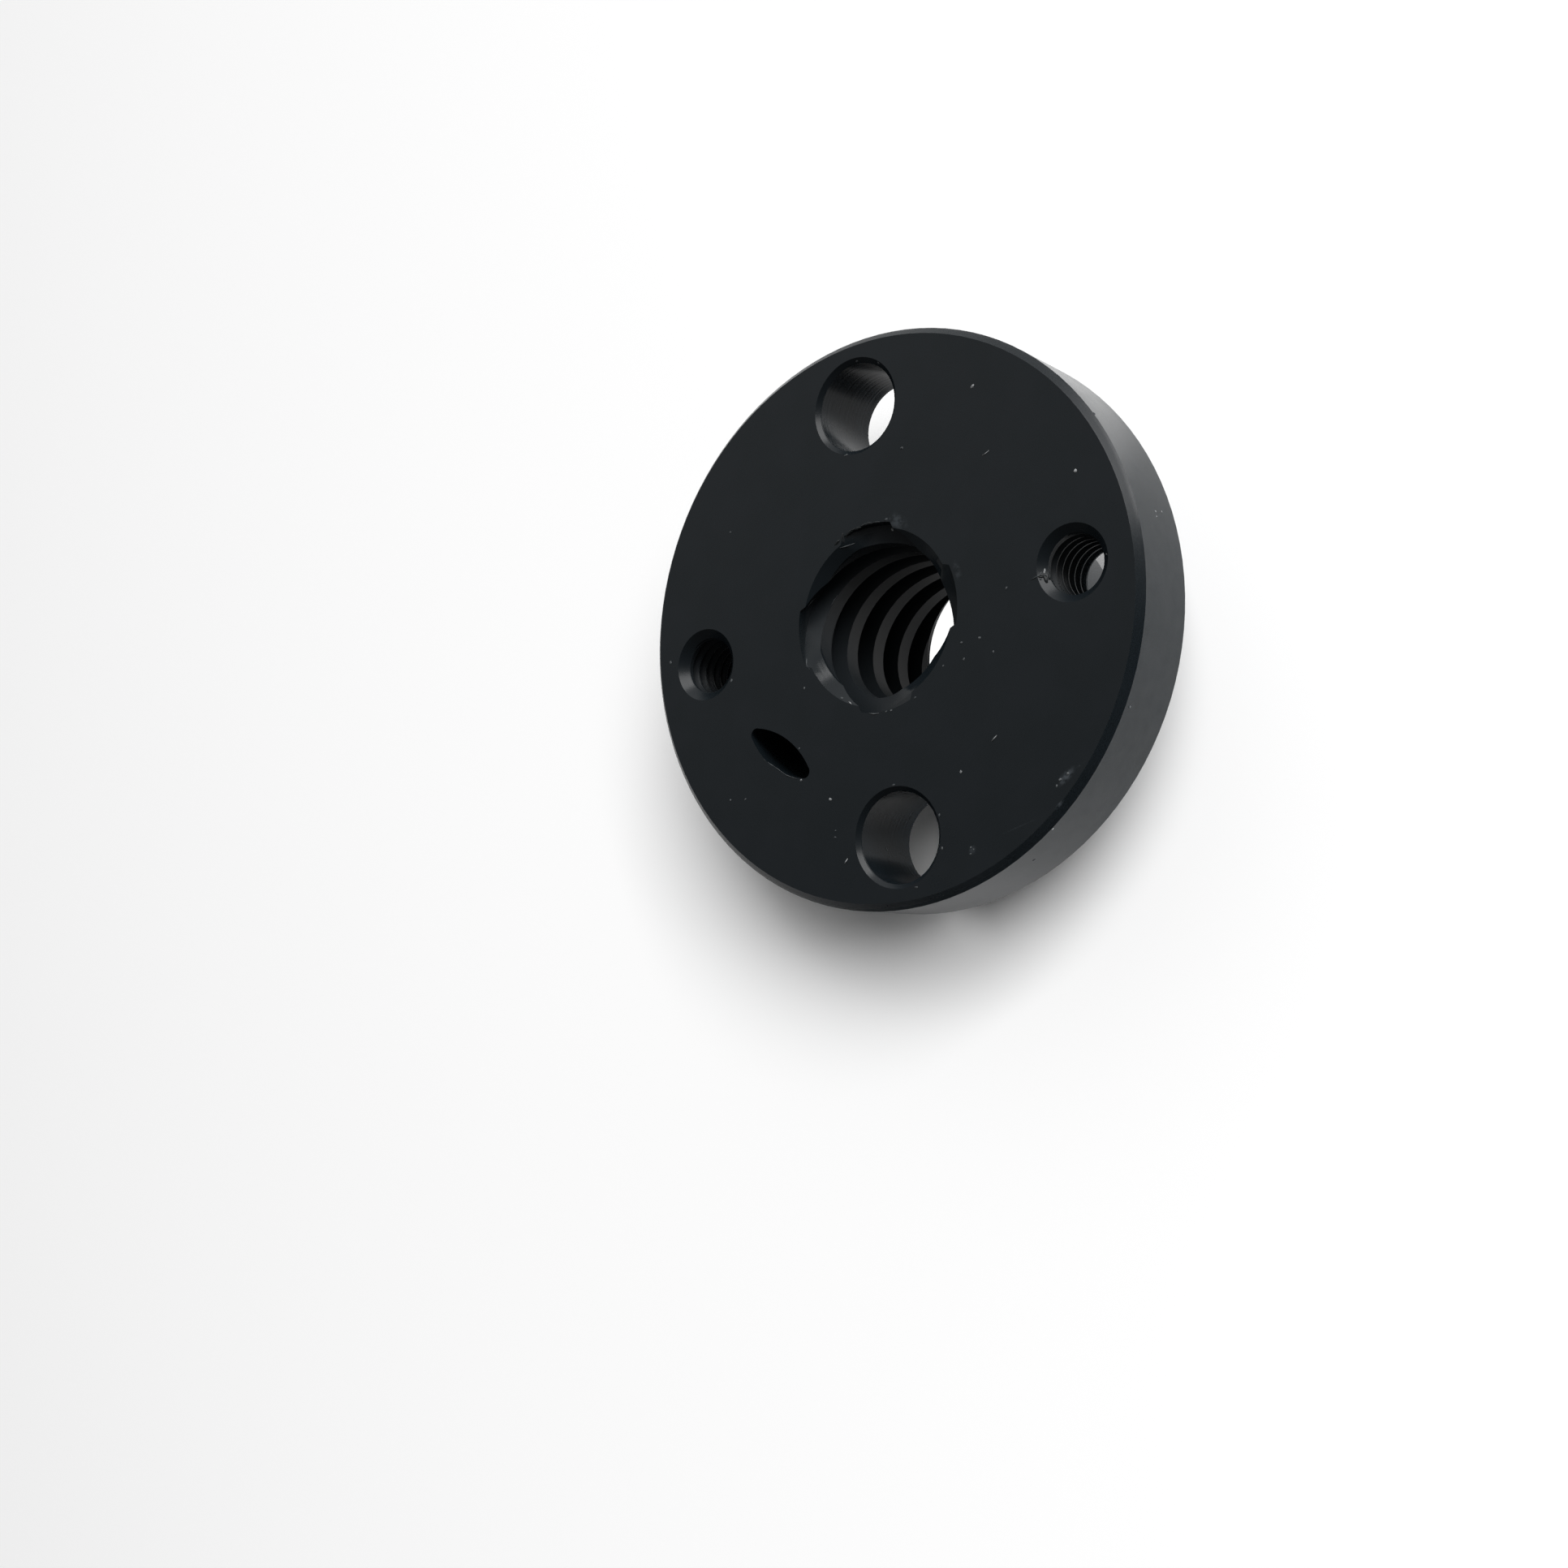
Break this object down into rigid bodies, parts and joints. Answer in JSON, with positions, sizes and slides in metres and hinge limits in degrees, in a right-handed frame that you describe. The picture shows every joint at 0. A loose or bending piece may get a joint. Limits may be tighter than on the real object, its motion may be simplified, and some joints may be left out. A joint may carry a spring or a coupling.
{
  "type": "trapezoidal lead screw nut",
  "caption": "Round flanged black acetal nut with a multi-start trapezoidal thread, plain and tapped flange holes and a short body behind the flange.",
  "frame": {"origin": "on the screw axis at the end of the body, which the nut stands on", "axes": "+Z along the screw axis towards the flange face, +X through a tapped hole, +Y through a clearance hole"},
  "size_m": [0.025, 0.025, 0.0105],
  "materials": {
    "black_acetal": "black acetal as turned: satin with fine turning marks"
  },
  "bodies": {
    "root": {"lead_screw_nut": "black_acetal"}
  },
  "joints": []
}
